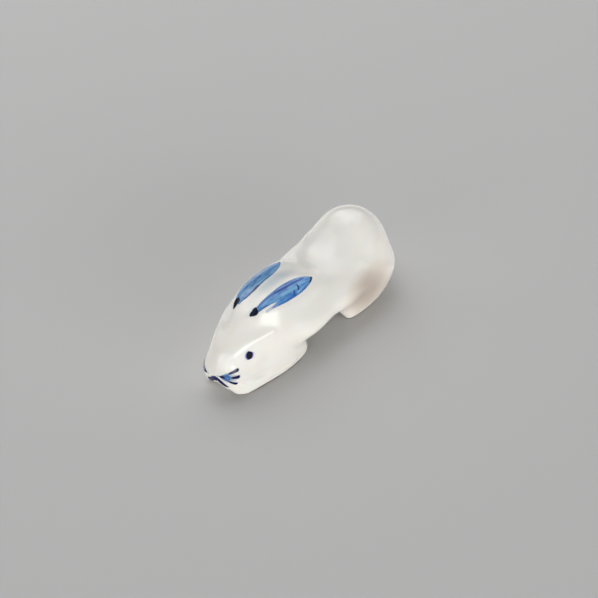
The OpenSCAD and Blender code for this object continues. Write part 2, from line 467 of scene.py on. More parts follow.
@dataclass(frozen=True)
class PorcelainFinish(Finish):
    """Glazed white porcelain, with a dry unglazed foot. Its colour holds painted shade: on the lower thighs,
    between the ears, in hollows, and a contact shadow on the foot.
    """

    white: Colour = (251, 249, 243)
    # cool: grey-blue of glaze pooled in hollows, and painted shade that darkens hollows and the valley
    # between the ears.
    cool_glaze_and_shade: Colour = (186, 200, 206)
    # warm: cloudy tone of the glaze, and painted warm shade on the lower thighs.
    warm_glaze_and_shade: Colour = (240, 226, 206)
    # shade: painted shade on the lower thighs, which turn down and away from the light.
    shade: Colour = (184, 169, 157)
    # bisque: the dry unglazed foot, darkened to a painted contact shadow along the ground.
    bisque_and_contact_shadow: Colour = (94, 74, 56)
    speck: Colour = (66, 50, 38)
    roughness: float = 0.3
    dry_roughness: float = 0.85
    coat_roughness: float = 0.17
    coat_edge: float = 0.5
    gloss: float = 0.15
    specks: float = 0.35
    hollow_range: Point2 = (0.02, 0.16)
    hollow_strength: float = 0.6
    cloud_range: Point2 = (0.35, 0.7)
    cloud_strength: float = 0.14
    foot_height: float = 0.32
    foot_band: Point2 = (0.8, 1.5)
    foot_ragged: float = 420.0
    grain: float = 2600.0
    grain_range: Point2 = (0.35, 0.7)
    grain_strength: float = 0.35
    grain_height: float = 0.4
    glow: float = 0.25
    glow_spread: Point3 = (1.0, 0.65, 0.4)
    glow_depth: float = 1.2
    # Warm patches: the second is painted shade on the thigh; the first warms the snout bridge, the third the
    # back end low down.
    warm_tone_and_shade_patches: tuple[Patch, ...] = (
        Patch((-0.5, -25.0, 12.0), (3.6, 6.0, 6.0), 0.2),
        Patch((10.5, 12.0, 6.0), (6.0, 13.0, 8.5), 0.6, 0.3),
        Patch((0.0, 31.0, 5.0), (8.0, 4.0, 6.0), 0.5),
    )
    # Painted shade on the lower thighs, weaker on the mirrored side.
    painted_shade_patches: tuple[Patch, ...] = (
        Patch((10.4, 12.5, 6.6), (4.4, 10.5, 7.6), 1.0, 0.3),
        Patch((11.0, 20.0, 3.0), (4.0, 6.0, 4.5), 0.5, 0.2),
    )
    # Cool patches: the first is painted shade in the valley between the ears; the others cool the white over
    # the saddle and beside the mouth.
    cool_tone_and_shade_patches: tuple[Patch, ...] = (
        Patch((0.0, -9.5, 18.0), (2.6, 10.5, 3.4), 0.85),
        Patch((0.0, 1.5, 15.0), (6.0, 4.0, 3.0), 0.1),
        Patch((3.6, -29.0, 6.3), (3.4, 3.4, 3.0), 0.3),
    )

    def toned(self, coat: Coat) -> Any:
        """Lays the patches over the white, painted shade among them.

        Args:
            coat: The material.

        Returns:
            The colour.
        """
        colour: Any = self.white
        patches = (self.warm_tone_and_shade_patches, self.painted_shade_patches, self.cool_tone_and_shade_patches)
        for group, over in zip(patches, (self.warm_glaze_and_shade, self.shade, self.cool_glaze_and_shade)):
            for patch in group:
                for side in Side if patch.mirrored else (Side.LEFT,):
                    colour = coat.tint(patch.mask(coat, side), colour, over)
        return colour

    def dress(self, coat: Coat) -> None:
        """Feeds the shader, which reads Object coordinates and the attribute hollow.

        Args:
            coat: The material.
        """
        glaze = coat.glaze(self.specks)
        hollow = coat.put("Attribute", attribute_name="hollow").outputs["Fac"]
        # Painted shade: hollows are darkened towards the cool grey-blue, partly as pooled glaze.
        pooled = coat.fade(hollow, *self.hollow_range, 0.0, self.hollow_strength)
        colour = coat.tint(pooled, self.toned(coat), self.cool_glaze_and_shade)
        cloudy = coat.fade(glaze["Cloud"], *self.cloud_range, 0.0, self.cloud_strength)
        colour = coat.tint(cloudy, colour, self.warm_glaze_and_shade)
        colour = coat.tint(glaze["Speck"], colour, self.speck)

        height = coat.put("SeparateXYZ", {0: coat.place}).outputs["Z"]
        foot = self.foot_height * MM
        ragged = coat.maths("MULTIPLY_ADD", coat.noise(coat.place, self.foot_ragged), foot, height)
        dry = coat.fade(ragged, *(foot * share for share in self.foot_band), 1.0, 0.0)
        grain = coat.noise(coat.place, self.grain, 3.0)
        speckled = coat.fade(grain, *self.grain_range, 0.0, self.grain_strength)
        # Painted contact shadow: the dry foot band takes the dark bisque colour.
        colour = coat.tint(dry, colour, coat.tint(speckled, self.bisque_and_contact_shadow, self.speck))
        rough = coat.maths("MULTIPLY", grain, coat.maths("MULTIPLY", dry, self.grain_height))
        coat.shade(
            {
                "Base Color": colour,
                "Roughness": coat.fade(dry, 0.0, 1.0, self.roughness, self.dry_roughness),
                "Normal": coat.relief(coat.maths("ADD", glaze["Height"], rough)),
                "Coat Weight": coat.fade(dry, 0.0, self.coat_edge, 1.0, 0.0),
                "Coat Roughness": self.coat_roughness,
                "IOR": coat.IOR,
                "Specular IOR Level": self.gloss,
                "Subsurface Weight": self.glow,
                "Subsurface Radius": self.glow_spread,
                "Subsurface Scale": self.glow_depth * MM,
            }
        )


@dataclass(frozen=True)
class Pass:
    """One pass of the brush inside a mark, in millimetres across and up the mark.

    Its widths are half widths. A strength above 1 covers the streaks below it as well.
    """

    start: Point2
    end: Point2
    width: float
    end_width: float
    ink: Colour = (14, 32, 92)
    softness: float = 0.12
    strength: float = 1.0

    def mask(self, coat: Coat, plane: Socket) -> Socket:
        """Masks the pass.

        Args:
            coat: The material.
            plane: Where a point lies across and up the mark.

        Returns:
            The mask, by the pass's strength.
        """
        made = coat.group(
            coat.effects.line,
            Vector=plane,
            Start=(*self.start, 0),
            End=(*self.end, 0),
            Start_width=self.width,
            End_width=self.end_width,
            Softness=self.softness,
        )
        return coat.maths("MULTIPLY", made.outputs["Mask"], self.strength)


@dataclass(frozen=True)
class CobaltFinish(Finish):
    """Cobalt under the glaze: thin wash with the marks of the brush, darker where it was laid twice.

    Passes are worked into the mark one after another, each with its own ink. Bare passes leave the
    white body open. Core passes, where there are some, are all that is painted.
    """

    light: Colour = (124, 180, 228)
    wash: Colour = (66, 122, 200)
    deep: Colour = (40, 90, 182)
    streaks: float = 0.9
    streak_range: Point2 = (0.38, 0.64)
    broken_range: Point2 = (0.3, 0.6)
    broken_strength: float = 0.7
    pool: float = 0.5
    pool_range: Point2 = (0.45, 0.75)
    rim_darkness: float = 0.3
    rim_width: float = 0.3
    feather: float = 0.12
    cover: float = 0.95
    halo: float = 0.0
    halo_cover: float = 0.22
    hairs: float = 2.6
    run: float = 0.22
    roughness: float = 0.32
    coat_roughness: float = 0.1
    shine: float = 1.0
    passes: tuple[Pass, ...] = ()
    bare_passes: tuple[Pass, ...] = ()
    core_passes: tuple[Pass, ...] = ()

    @staticmethod
    def masked(coat: Coat, plane: Socket, passes: tuple[Pass, ...]) -> Any:
        """Masks several passes together.

        Args:
            coat: The material.
            plane: Where a point lies across and up the mark.
            passes: The passes.

        Returns:
            The largest of their masks at each point, or 0 where there are none.
        """
        mask: Any = 0.0
        for one in passes:
            mask = coat.maths("MAXIMUM", one.mask(coat, plane), mask)
        return mask

    def dress(self, coat: Coat) -> None:
        """Feeds the shader, which reads the attribute brush: across, up, and in from the rim.

        Args:
            coat: The material.
        """
        laid = coat.put("Attribute", attribute_name="brush").outputs["Vector"]
        across, up, rim = coat.put("SeparateXYZ", {0: laid}).outputs
        plane = coat.put("CombineXYZ", {"X": across, "Y": up}).outputs[0]
        hairs = coat.group(coat.effects.hairs, Vector=plane, Hairs=self.hairs, Run=self.run).outputs

        streaks = coat.fade(hairs["Streak"], *self.streak_range, 0.0, self.streaks)
        colour = coat.tint(streaks, self.light, self.wash)
        pooled = coat.fade(hairs["Pool"], *self.pool_range, 0.0, self.pool)
        colour = coat.tint(pooled, colour, self.deep)
        edge = coat.fade(rim, 0.0, self.rim_width, self.rim_darkness, 0.0)
        colour = coat.tint(edge, colour, self.deep)
        broken = coat.fade(hairs["Streak"], *self.broken_range, self.broken_strength, 1.0)
        for one in self.passes:
            colour = coat.tint(coat.maths("MULTIPLY", one.mask(coat, plane), broken), colour, one.ink)

        worn = coat.maths("MULTIPLY_ADD", hairs["Ragged"], -self.feather, rim)
        cover = coat.fade(worn, -0.5 * self.feather, 0.5 * self.feather, 0.0, self.cover)
        if self.core_passes:
            cover = coat.maths("MULTIPLY", cover, self.masked(coat, plane, self.core_passes))
        if self.halo:
            bled = coat.fade(worn, -self.halo, 0.0, 0.0, self.halo_cover)
            cover = coat.maths("MAXIMUM", cover, bled)
        bare = self.masked(coat, plane, self.bare_passes)
        coat.shade(
            {
                "Base Color": colour,
                "Alpha": coat.maths("MULTIPLY", cover, coat.maths("SUBTRACT", 1.0, bare)),
                "Normal": coat.relief(coat.glaze()["Height"]),
                "Roughness": self.roughness,
                "IOR": coat.IOR,
                "Specular IOR Level": 0.0,
                "Coat Weight": self.shine,
                "Coat Roughness": self.coat_roughness,
            }
        )


@dataclass(frozen=True)
class Rub:
    """An egg-shaped place on both sides where the clay was rubbed smooth, in millimetres.

    It is rubbed in steps, from its whole reach to its middle, where it takes the most rounds.
    """

    centre: Point3
    reach: Point3
    rounds: int
    steps: int = 8
    step_in: float = 0.07

    def share(self, point: Vector) -> float:
        """Measures how far a point lies from the middle of the place.

        Args:
            point: The point, in metres.

        Returns:
            The distance as a share of the reach.
        """
        offsets = (abs(point.x) / MM, point.y / MM, point.z / MM)
        return math.hypot(*((o - c) / r for o, c, r in zip(offsets, self.centre, self.reach)))

    def rub(self, bm: bmesh.types.BMesh) -> None:
        """Rubs the place, without its foot.

        Args:
            bm: The body, which is changed.
        """
        for step in range(self.steps):
            reach = 1 - self.step_in * step
            chosen = [v for v in bm.verts if v.co.z > MM and self.share(v.co) < reach]
            for _ in range(1 + round(self.rounds * (step / (self.steps - 1)) ** 2)):
                bmesh.ops.smooth_vert(
                    bm, verts=chosen, factor=0.5, use_axis_x=True, use_axis_y=True, use_axis_z=True
                )


@dataclass(frozen=True)
class Touch:
    """A stroke of the modelling tool on both sides, which draws the clay out, or in below 0.

    It runs from start to end and fades with the distance from that line, all in millimetres.
    """

    start: Point3
    end: Point3
    reach: float
    push: float
    fade_end: float = 2.6

    def rise(self, point: Vector) -> float:
        """Measures how far the stroke moves a point along its normal.

        Args:
            point: The point, in metres.

        Returns:
            The move in millimetres.
        """
        spot = Vector((abs(point.x), point.y, point.z)) / MM
        gap = off_line(spot, Vector(self.start), Vector(self.end)).length / self.reach
        return self.push * math.exp(-gap * gap) if gap < self.fade_end else 0.0


@dataclass
class PorcelainBody:
    """The fired body: the skin of the CAD, rounded, with the small unevenness of a pressed form."""

    finish: PorcelainFinish = field(default_factory=PorcelainFinish)
    levels: int = 2
    weld: float = 0.002
    ground: float = 0.001
    shortest_edge: float = 0.01
    join_angle: float = 50.0
    foot_rim: float = 0.45
    foot_crease: float = 0.6
    sliver: float = 0.12
    wobble: float = 0.05
    wobble_size: float = 8.0
    wobble_start: float = 0.6
    wobble_fade: float = 1.5
    muzzle: float = 5.0
    mouth_depth: float = 0.05
    mouth_reach: float = 0.34
    lip_rise: float = 0.05
    lip_offset: float = 1.7
    lip_sharpness: float = 1.6
    hollow_rounds: int = 14
    tuck: float = 0.2
    tuck_height: float = 0.7
    rubbed: Rub = Rub((0.0, 10.5, 14.0), (13.0, 11.0, 9.0), 30)
    touches: tuple[Touch, ...] = (
        Touch((1.4, -29.5, 3.2), (2.2, -29.2, 3.0), 1.2, 0.15),
        Touch((2.4, -29.1, 2.2), (3.8, -28.1, 1.4), 1.1, 0.4),
        Touch((3.4, -29.0, 5.0), (3.9, -28.4, 5.4), 1.5, 0.2),
        Touch((3.4, -28.2, 1.2), (5.6, -26.2, 1.2), 1.2, 0.5),
        Touch((3.4, -24.8, 12.9), (6.4, -17.8, 13.0), 0.9, 0.15),
        Touch((4.9, -27.4, 3.2), (6.8, -20.1, 2.45), 0.75, 0.28),
        Touch((7.1, -19.1, 2.36), (8.0, -12.2, 2.05), 0.75, 0.28),
        Touch((7.0, -19.5, 6.8), (8.4, -11.5, 6.6), 2.6, -0.55),
        Touch((7.64, 13.06, 12.9), (9.9, 22.0, 7.0), 1.3, 0.3),
        Touch((10.4, 10.5, 6.0), (10.2, 16.5, 4.8), 2.6, -0.35),
        Touch((7.8, 9.5, 12.6), (9.5, 4.5, 9.0), 1.8, -0.08),
        Touch((7.4, 13.2, 13.5), (7.4, 13.2, 13.5), 0.45, 0.18),
    )

    def grounded(self, vertex: bmesh.types.BMVert) -> bool:
        """Whether a point lies on the table."""
        return vertex.co.z < self.ground * MM

    def cage(self) -> bpy.types.Mesh:
        """Copies the CAD skin, merges it and turns its triangles into four-sided faces.

        Returns:
            The mesh, with one face for each foot's ground, edged by a narrow rim.
        """
        bm = bmesh.new()
        bm.from_mesh(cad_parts["body"].data)
        bmesh.ops.remove_doubles(bm, verts=bm.verts, dist=self.weld * MM)
        low = [v for v in bm.verts if self.grounded(v)]
        bmesh.ops.remove_doubles(bm, verts=low, dist=self.sliver * MM)
        bmesh.ops.dissolve_degenerate(bm, dist=self.shortest_edge * MM, edges=bm.edges)
        flat = [f for f in bm.faces if all(map(self.grounded, f.verts))]
        whole = set(bmesh.ops.dissolve_faces(bm, faces=flat, use_verts=False)["region"])
        bmesh.ops.join_triangles(
            bm,
            faces=[f for f in bm.faces if f not in whole],
            angle_face_threshold=math.radians(self.join_angle),
            angle_shape_threshold=math.radians(self.join_angle),
        )
        soles = [f for f in bm.faces if all(map(self.grounded, f.verts))]
        bmesh.ops.inset_region(bm, faces=soles, thickness=self.foot_rim * MM, use_even_offset=False)
        self.rubbed.rub(bm)
        crease = bm.edges.layers.float.new("crease_edge")
        for edge in bm.edges:
            rises = any(not all(map(self.grounded, f.verts)) for f in edge.link_faces)
            if rises and all(map(self.grounded, edge.verts)):
                edge[crease] = self.foot_crease
        mesh = bpy.data.meshes.new("body_cage")
        bm.to_mesh(mesh)
        bm.free()
        return mesh

    def rounded(self, cage: bpy.types.Mesh) -> bpy.types.Mesh:
        """Rounds the body.

        Args:
            cage: The mesh to subdivide.

        Returns:
            The result as a plain mesh.
        """
        holder = enter("cage", cage)
        smooth = holder.modifiers.new("rounding", "SUBSURF")
        smooth.levels = smooth.render_levels = self.levels
        graph = bpy.context.evaluated_depsgraph_get()
        mesh = bpy.data.meshes.new_from_object(holder.evaluated_get(graph))
        bpy.data.objects.remove(holder)
        return mesh

    def model(self, mesh: bpy.types.Mesh, mouths: list[list[Vector]]) -> None:
        """Adds what the hand left in the clay.

        Args:
            mesh: The rounded body, which is changed.
            mouths: The points of each line of the mouth, from the nose down.
        """
        bm = bmesh.new()
        bm.from_mesh(mesh)
        bm.normal_update()
        front = min(v.co.y for v in bm.verts) + self.muzzle * MM
        for v in bm.verts:
            above = v.co.z / MM - self.wobble_start
            if above > 0:
                wave = noise.noise(v.co / (self.wobble_size * MM)) * self.wobble * MM
                v.co += v.normal * wave * min(above / self.wobble_fade, 1.0)
            push = sum(touch.rise(v.co) for touch in self.touches)
            if v.co.y < front:
                push += self.lip(v.co, mouths)
            v.co += v.normal * push * MM
            if v.co.z < self.tuck_height * MM:
                flat = Vector((v.normal.x, v.normal.y, 0.0))
                v.co -= flat * self.tuck * (MM - v.co.z / self.tuck_height)
            v.co.z = max(v.co.z, 0.0)
        bm.to_mesh(mesh)
        bm.free()

    def lip(self, point: Vector, mouths: list[list[Vector]]) -> float:
        """Measures the groove of the mouth and the lip above it.

        Args:
            point: A point near the mouth.
            mouths: The points of each line of the mouth.

        Returns:
            How far the point moves along its normal, in millimetres.
        """
        rise = 0.0
        for line in mouths:
            offsets = (off_line(point, start, end) for start, end in zip(line, line[1:]))
            nearest = min(offsets, key=lambda offset: offset.length)
            gap = nearest.length / MM / self.mouth_reach
            rise -= self.mouth_depth * math.exp(-gap * gap)
            if nearest.z > 0:
                ridge = gap - self.lip_offset
                rise += self.lip_rise * math.exp(-ridge * ridge * self.lip_sharpness)
        return rise

    def mark_hollows(self, mesh: bpy.types.Mesh) -> None:
        """Stores how hollow the surface is, for the glaze that pools there and the painted shade laid in
        hollows.

        Args:
            mesh: The body, which gets the attribute hollow.
        """
        count = len(mesh.vertices)
        places, normals = np.empty(count * 3), np.empty(count * 3)
        mesh.vertices.foreach_get("co", places)
        mesh.vertices.foreach_get("normal", normals)
        pairs = np.empty(len(mesh.edges) * 2, int)
        mesh.edges.foreach_get("vertices", pairs)
        places, normals = places.reshape(-1, 3) / MM, normals.reshape(-1, 3)
        pairs = pairs.reshape(-1, 2)
        ends = np.concatenate([pairs, pairs[:, ::-1]])
        steps = places[ends[:, 1]] - places[ends[:, 0]]
        degree = np.maximum(np.bincount(ends[:, 0], minlength=count), 1)
        rise = np.bincount(ends[:, 0], np.einsum("ij,ij->i", steps, normals[ends[:, 0]]), count)
        square = np.bincount(ends[:, 0], (steps**2).sum(1), count)
        hollow = rise / np.maximum(square, 1e-9)
        for _ in range(self.hollow_rounds):
            hollow = np.bincount(ends[:, 0], hollow[ends[:, 1]], count) / degree
        layer = mesh.attributes.new("hollow", "FLOAT", "POINT")
        layer.data.foreach_set("value", np.clip(hollow, -1, 1).astype(np.float32))

    def build(self, effects: Effects, mouths: list[list[Vector]]) -> bpy.types.Object:
        """Builds the body and dresses it.

        Args:
            effects: The shared effects.
            mouths: The points of each line of the mouth, from the nose down.

        Returns:
            The body's object.
        """
        mesh = self.rounded(self.cage())
        self.model(mesh, mouths)
        self.mark_hollows(mesh)
        mesh.shade_smooth()
        mesh.name = "porcelain_body"
        return present("porcelain_body", mesh, self.finish.build("white_porcelain", effects), "body")


def present(name: str, mesh: bpy.types.Mesh, finish: bpy.types.Material, node: str) -> bpy.types.Object:
    """Puts a finished mesh in the scene in place of its CAD node.

    Args:
        name: The piece's name.
        mesh: Its mesh, in its place.
        finish: Its material.
        node: The CAD node that it stands for, which is hidden.

    Returns:
        The piece.
    """
    mesh.materials.clear()
    mesh.materials.append(finish)
    piece = enter(name, mesh)
    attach(piece, "root")
    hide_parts(node)
    log.info("%s: %d faces", name, len(mesh.polygons))
    return piece


def skin(mesh: bpy.types.Mesh) -> BVHTree:
    """Takes the surface of a mesh, for marks to be laid on.

    Args:
        mesh: The body.

    Returns:
        The surface.
    """
    bm = bmesh.new()
    bm.from_mesh(mesh)
    surface = BVHTree.FromBMesh(bm)
    bm.free()
    return surface


def curve(rows: Rows, share: float) -> list[float]:
    """Finds a point on the smooth curve through rows of numbers.

    Args:
        rows: The rows, at equal steps.
        share: How far along, from 0 to 1.

    Returns:
        The numbers there.
    """
    last = len(rows) - 1
    i = min(int(share * last), last - 1)
    f = share * last - i
    a, b, c, d = rows[max(i - 1, 0)], rows[i], rows[i + 1], rows[min(i + 2, last)]
    return [
        (2 * q + (r - p) * f + (2 * p - 5 * q + 4 * r - s) * f**2 + (3 * q - p - 3 * r + s) * f**3) / 2
        for p, q, r, s in zip(a, b, c, d)
    ]


@dataclass(frozen=True)
class Line:
    """The form of a mark along a curve. Its rows are [across, up, half width], in millimetres."""

    rows: Rows
    margin: float = 0.06
    thinnest: float = 0.02
    look: float = 0.02

    def spread(self, share: float, along: float) -> Point3:
        """Lays out one point of the mark.

        Args:
            share: How far across the mark, from -1 to 1.
            along: How far along it, from 0 to 1.

        Returns:
            The point across and up the mark, and how far it is inside the painted rim.
        """
        x, y, half = curve(self.rows, along)
        x0, y0, _ = curve(self.rows, max(along - self.look, 0))
        x1, y1, _ = curve(self.rows, min(along + self.look, 1))
        run = math.hypot(x1 - x0, y1 - y0)
        side_x, side_y = -(y1 - y0) / run, (x1 - x0) / run
        reach = max(half, self.thinnest) + self.margin
        length = sum(math.dist(a[:2], b[:2]) for a, b in zip(self.rows, self.rows[1:]))
        inside = min(reach - self.margin - abs(share) * reach, min(along, 1 - along) * length)
        return x - side_x * share * reach, y - side_y * share * reach, inside


@dataclass(frozen=True)
class Fan:
    """The form of the whiskers: fingers from one point, joined near it."""

    angles: Point2 = (-38.0, 38.0)
    fingers: int = 3
    joined: float = 0.9
    tip_power: float = 0.7
    length: float = 4.8
    start: float = -0.06
    end: float = 1.04
    rim: float = 2.0

    def spread(self, share: float, along: float) -> Point3:
        """Lays out one point of the fan.

        Args:
            share: How far across the fan, from -1 to 1.
            along: How far out, from 0 to 1.

        Returns:
            The point across and up the fan, and how far it is inside the painted rim.
        """
        part = (1 - share) / 2
        turn = math.radians(self.angles[1] + (self.angles[0] - self.angles[1]) * part)
        finger = (1 - math.cos(math.tau * self.fingers * part)) / 2
        reach = self.length * (self.joined + (1 - self.joined) * finger**self.tip_power)
        out = self.start + (self.end - self.start) * along
        return math.cos(turn) * reach * out, math.sin(turn) * reach * out, (self.end - out) * self.rim


@dataclass(frozen=True)
class Mark:
    """A mark of the brush: a thin sheet of colour laid on the glaze, sunk in it to the eye.

    Its form starts from its place, in millimetres on the left side, as the brush looks at it.
    """

    stem: str
    place: Point3
    brush: Bearing
    form: Line | Fan
    finish: CobaltFinish
    steps: tuple[int, int] = (10, 40)
    lift: float = 0.025
    clear: float = 12.0

    def land(self, surface: BVHTree, side: Side, across: float, up: float) -> tuple[Vector, Vector]:
        """Finds where a point of the mark meets the body.

        Args:
            surface: The body's surface.
            side: The side that is painted.
            across: How far across the mark the point lies, in millimetres.
            up: How far up the mark it lies, in millimetres.

        Returns:
            The point on the surface, and the surface's normal there.
        """
        x_axis, y_axis, back = self.brush.axes()
        start = side.flip((Vector(self.place) + x_axis * across + y_axis * up + back * self.clear) * MM)
        spot, normal, _, _ = surface.ray_cast(start, side.flip(-back))
        if spot is None:
            spot, normal, _, _ = surface.find_nearest(start)
        return spot, normal

    def build(self, side: Side | None, surface: BVHTree, effects: Effects) -> bpy.types.Object:
        """Lays the mark on the body.

        Args:
            side: The side to paint, or None for a mark in the middle.
            surface: The surface to lay it on.
            effects: The shared effects.

        Returns:
            The mark's object.
        """
        bm = bmesh.new()
        columns, rows = self.steps
        bmesh.ops.create_grid(bm, x_segments=columns, y_segments=rows, size=0.5)
        plane = bm.verts.layers.float_vector.new("brush")
        for v in bm.verts:
            laid = self.form.spread(v.co.x * 2, v.co.y + 0.5)
            spot, normal = self.land(surface, side or Side.LEFT, *laid[:2])
            v.co = spot + normal * self.lift * MM
            v[plane] = laid
        bm.normal_update()
        face = bm.faces[:][len(bm.faces) // 2]
        _, outward, _, _ = surface.find_nearest(face.calc_center_median())
        if face.normal.dot(outward) < 0:
            bmesh.ops.reverse_faces(bm, faces=bm.faces)
        node = side.node(self.stem) if side else self.stem
        mesh = bpy.data.meshes.new(f"painted_{node}")
        bm.to_mesh(mesh)
        bm.free()
        mesh.shade_smooth()
        return present(f"painted_{node}", mesh, self.finish.build(f"cobalt_{node}", effects), node)


@dataclass
class Ears:
    """Paint of the ears: a blue leaf on each, gone over with a fuller brush, and a dab at its root."""

    place: Point3 = (3.5, -8.85, 16.2)
    brush: Bearing = Bearing(-6, 90)
    leaf_steps: tuple[int, int] = (20, 72)
    dab_steps: tuple[int, int] = (14, 24)
    dab_lift: float = 0.05
    left_leaf: Line = Line(
        (
            (0.2, -9.5, 0.52), (0.6, -8.3, 1.08), (0.68, -7.0, 1.24), (0.69, -5.2, 1.47), (0.65, -2.8, 1.72),
            (0.53, -0.3, 1.83), (0.37, 2.4, 1.74), (0.22, 4.7, 1.42), (0.16, 6.6, 0.86), (0.05, 8.0, 0.1),
        )
    )
    right_leaf: Line = Line(
        (
            (-0.62, -10.55, 0.12), (-0.3, -9.2, 1.16),
            (-0.12, -7.6, 1.68), (0.06, -5.2, 2.04), (0.3, -2.6, 2.29),
            (0.36, 0.0, 2.41), (0.27, 2.5, 2.22), (0.1, 4.9, 1.62), (0.08, 6.8, 0.78), (0.16, 8.1, 0.05),
        )
    )
    left_dab: Line = Line(
        (
            (-0.22, -11.55, 0.2), (-0.18, -11.1, 0.42), (-0.02, -10.5, 0.62), (0.08, -10.0, 0.72),
            (0.22, -9.45, 0.55),
        )
    )
    right_dab: Line = Line(
        (
            (0.0, -11.5, 0.2), (0.08, -11.0, 0.42), (0.15, -10.4, 0.58), (0.25, -9.8, 0.76), (0.6, -9.0, 0.4),
        )
    )
    left_leaf_finish: CobaltFinish = CobaltFinish(
        passes=(
            Pass((-0.75, -6.0), (-1.15, -1.0), 0.12, 0.2, (92, 134, 200), 0.2, 0.6),
            Pass((-1.15, -1.0), (-1.1, 3.8), 0.2, 0.2, (88, 122, 186), 0.2, 0.7),
            Pass((-0.1, -8.5), (-0.4, -3.5), 0.2, 0.22, (40, 84, 174), 0.16, 0.9),
            Pass((-0.4, -3.5), (-0.3, 0.2), 0.24, 0.28, (22, 62, 156), 0.16, 1.2),
            Pass((-0.3, 0.2), (-0.45, 5.5), 0.28, 0.2, (38, 84, 176), 0.16, 1.0),
            Pass((0.85, -6.2), (0.85, -2.5), 0.22, 0.34, (122, 178, 220), 0.2, 0.8),
            Pass((0.85, -2.5), (0.8, 2.2), 0.34, 0.3, (142, 200, 236), 0.2, 0.9),
            Pass((2.1, -4.8), (2.15, -2.0), 0.15, 0.26, (64, 124, 200), 0.14, 0.85),
            Pass((2.15, -2.0), (1.85, 0.7), 0.28, 0.3, (60, 120, 200), 0.16, 0.9),
            Pass((0.35, 2.9), (0.4, 5.2), 0.28, 0.16, (150, 206, 250), 0.16, 0.85),
            Pass((1.8, 1.5), (1.35, 3.4), 0.14, 0.16, (152, 196, 246), 0.12, 0.85),
            Pass((1.35, 3.4), (0.85, 5.6), 0.16, 0.08, (128, 180, 232), 0.12, 0.8),
            Pass((1.9, 2.8), (1.35, 5.6), 0.06, 0.08, (62, 100, 176), 0.08, 0.8),
            Pass((0.95, 3.4), (0.75, 5.8), 0.07, 0.09, (76, 126, 204), 0.08, 0.7),
            Pass((0.15, 2.75), (0.8, 2.62), 0.16, 0.22, (38, 88, 156), 0.1, 0.95),
            Pass((0.8, 2.62), (1.4, 2.1), 0.24, 0.12, (18, 62, 134), 0.1, 1.0),
            Pass((1.25, 0.85), (1.95, 0.2), 0.18, 0.24, (40, 90, 170), 0.1, 0.95),
            Pass((0.2, 6.9), (0.2, 5.7), 0.14, 0.22, (62, 128, 222), 0.15, 0.7),
            Pass((0.0, 7.7), (-0.75, 6.2), 0.16, 0.1, (30, 66, 148), 0.14, 0.85),
            Pass((0.05, 7.75), (0.5, 7.15), 0.26, 0.24, (4, 16, 70), 0.12, 1.0),
            Pass((0.5, 7.15), (1.15, 6.0), 0.24, 0.1, (6, 24, 88), 0.12, 1.0),
            Pass((0.95, -7.2), (0.62, -9.4), 0.07, 0.1, (24, 62, 130), 0.1, 0.8),
            Pass((2.0, -5.4), (1.85, -7.0), 0.4, 0.4, (138, 162, 216), 0.3, 0.8),
            Pass((1.85, -7.0), (1.6, -8.6), 0.4, 0.4, (204, 212, 238), 0.3, 1.3),
        ),
        bare_passes=(
            Pass((1.5, -4.7), (1.42, -6.2), 0.03, 0.24, softness=0.1),
            Pass((1.42, -6.2), (1.26, -8.2), 0.24, 0.26, softness=0.1),
            Pass((1.26, -8.2), (1.5, -9.6), 0.26, 0.78, softness=0.1),
        ),
    )
    right_leaf_finish: CobaltFinish = CobaltFinish(
        light=(130, 180, 222),
        wash=(84, 134, 196),
        passes=(
            Pass((-1.5, 2.0), (-1.1, 5.6), 0.25, 0.25, (142, 190, 226), 0.25, 0.7),
            Pass((-1.35, 1.0), (-1.35, -6.0), 0.16, 0.12, (146, 192, 204), 0.14, 0.7),
            Pass((-0.6, -5.0), (-0.25, -2.5), 0.14, 0.16, (48, 88, 148), 0.16, 0.7),
            Pass((-0.2, -1.5), (0.3, 0.2), 0.14, 0.18, (56, 100, 172), 0.16, 0.6),
            Pass((-0.3, 4.4), (-0.9, 5.0), 0.12, 0.14, (88, 140, 190), 0.14, 0.5),
            Pass((-1.66, 0.5), (-1.62, -4.0), 0.14, 0.22, (52, 98, 158), 0.12, 0.9),
            Pass((-1.62, -4.0), (-1.66, -6.5), 0.3, 0.3, (10, 46, 116), 0.12, 1.0),
            Pass((-1.66, -6.5), (-1.34, -9.0), 0.28, 0.24, (28, 68, 140), 0.12, 1.0),
            Pass((-1.34, -9.0), (-0.8, -10.5), 0.24, 0.2, (38, 74, 142), 0.12, 1.0),
            Pass((-0.3, 6.8), (-0.1, 7.6), 0.28, 0.15, (82, 98, 150), 0.2, 0.7),
        ),
    )
    dab_finish: CobaltFinish = CobaltFinish(
        light=(34, 44, 66), wash=(12, 18, 36), deep=(4, 8, 26),
        pool=0.4, streaks=0.9, feather=0.16, cover=0.98, shine=0.6,
    )

    def marks(self, side: Side) -> tuple[Mark, Mark]:
        """Draws the marks of one ear.

        Args:
            side: The ear's side.

        Returns:
            The leaf and the dab.
        """
        leaf, dab, finish = self.left_leaf, self.left_dab, self.left_leaf_finish
        if side is Side.RIGHT:
            leaf, dab, finish = self.right_leaf, self.right_dab, self.right_leaf_finish
        return (
            Mark("ear_leaf", self.place, self.brush, leaf, finish, self.leaf_steps),
            Mark("ear_root", self.place, self.brush, dab, self.dab_finish, self.dab_steps, self.dab_lift),
        )


